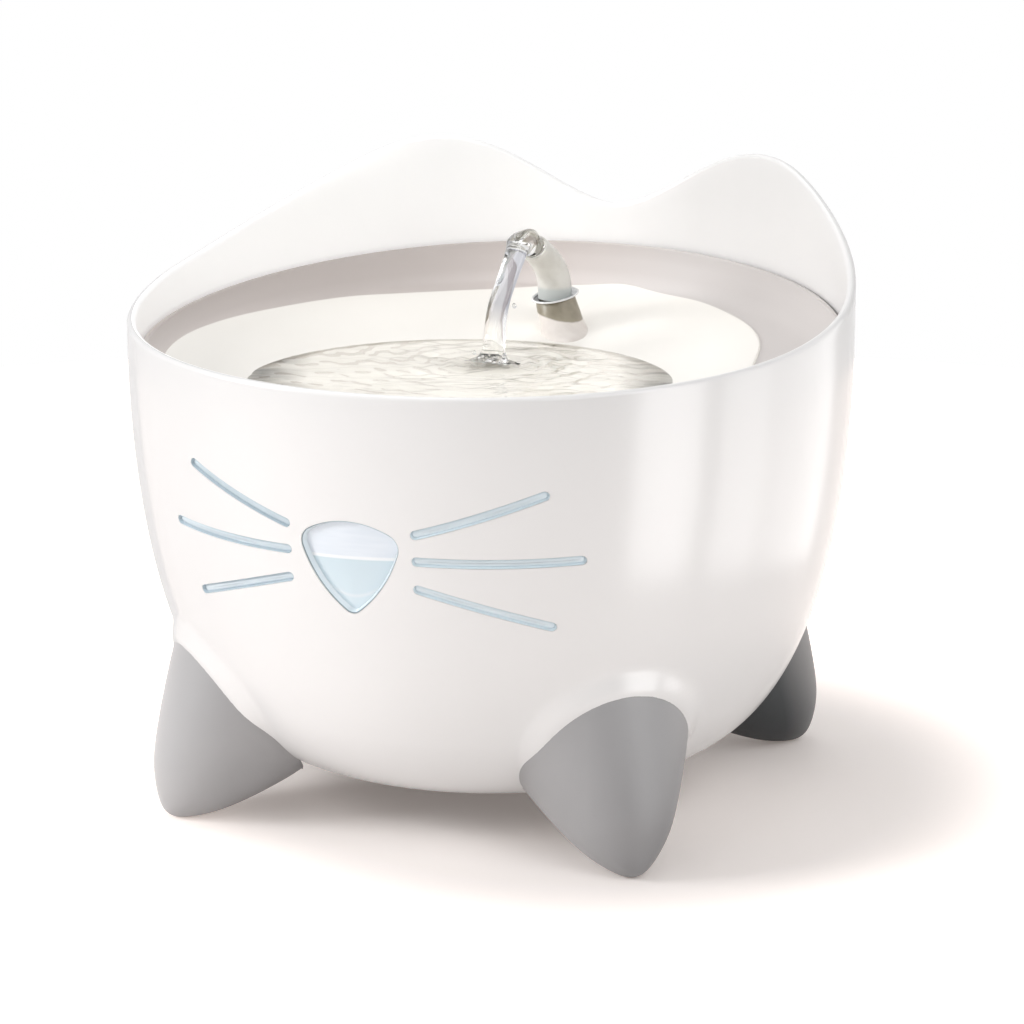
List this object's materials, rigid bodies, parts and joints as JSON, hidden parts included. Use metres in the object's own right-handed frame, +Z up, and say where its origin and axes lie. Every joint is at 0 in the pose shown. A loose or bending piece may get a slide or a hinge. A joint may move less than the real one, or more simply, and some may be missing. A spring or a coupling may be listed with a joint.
{
  "type": "pet water fountain",
  "caption": "White cat-head pet water fountain: eared bowl with lit nose and whiskers on four grey feet, tilted drinking tray and an arching spout.",
  "frame": {"origin": "on the floor under the bowl's axis", "axes": "+Z up, the nose faces -Y, +X to the right seen from the front"},
  "size_m": [0.24, 0.24, 0.2015],
  "materials": {
    "shell_white": "glossy",
    "base_dark": "satin",
    "screw_steel": "satin",
    "foot_grey": "matte",
    "window_blue": "glossy, translucent",
    "seal_rubber": "matte",
    "led_strip": "matte",
    "board_green": "satin",
    "tank_white": "satin",
    "pump_dark": "satin",
    "ceramic": "glossy",
    "filter_foam": "matte",
    "tube_frosted": "frosted",
    "impeller_dark": "satin",
    "dial_blue": "satin",
    "deck_cream": "satin",
    "cartridge_white": "matte",
    "filter_carbon": "matte",
    "tray_cream": "glossy",
    "collar_clear": "clear",
    "nozzle_frosted": "frosted"
  },
  "bodies": {
    "base": {"outer_shell": "shell_white", "base_plate": "base_dark", "base_screws": "screw_steel", "foot_front_left": "foot_grey", "foot_front_right": "foot_grey", "foot_back_left": "foot_grey", "foot_back_right": "foot_grey", "foot_screws": "screw_steel", "nose_lens": "window_blue", "nose_gasket": "seal_rubber", "whisker_light_left": "window_blue", "whisker_light_right": "window_blue", "led_strip": "led_strip", "control_board": "board_green", "dc_socket": "base_dark", "socket_nut": "screw_steel", "inner_tank": "tank_white", "tank_seal": "seal_rubber", "pump_housing": "pump_dark", "volute": "pump_dark", "pump_cover": "pump_dark", "impeller_shaft": "ceramic", "shaft_bushes": "ceramic", "intake_foam": "filter_foam", "suction_cups": "seal_rubber", "riser_coupling": "tube_frosted"},
    "impeller": {"impeller": "impeller_dark"},
    "flow_dial": {"flow_dial": "dial_blue"},
    "filter_deck": {"filter_deck": "deck_cream"},
    "filter": {"filter_cartridge": "cartridge_white", "filter_media": "filter_carbon"},
    "tray": {"drinking_tray": "tray_cream", "riser_tube": "tube_frosted", "spout_collar": "collar_clear"},
    "nozzle": {"spout_nozzle": "nozzle_frosted"}
  },
  "joints": [
    {"name": "tray_lift", "type": "slide", "parent": "base", "child": "tray", "axis": [0, 0, 1], "range_m": [0, 0.24]},
    {"name": "nozzle_swivel", "type": "hinge", "parent": "tray", "child": "nozzle", "pos_m": [0, 0.059, 0.16], "axis": [0, 0, 1], "range_deg": [-45, 45]},
    {"name": "filter_deck_lift", "type": "slide", "parent": "base", "child": "filter_deck", "axis": [0, 0, 1], "range_m": [0, 0.12]},
    {"name": "filter_lift", "type": "slide", "parent": "base", "child": "filter", "axis": [0, 0, 1], "range_m": [0, 0.168]},
    {"name": "impeller_spin", "type": "hinge", "parent": "base", "child": "impeller", "pos_m": [0, 0.04, 0.0562], "axis": [0, 1, 0], "continuous": true},
    {"name": "flow_dial_turn", "type": "hinge", "parent": "base", "child": "flow_dial", "pos_m": [0, 0.068, 0.0562], "axis": [0, 1, 0], "range_deg": [-40, 40]}
  ],
  "couplings": [
    {"joint": "filter_deck_lift", "follows": "tray_lift", "ratio": 0.5},
    {"joint": "filter_lift", "follows": "tray_lift", "ratio": 0.7}
  ]
}
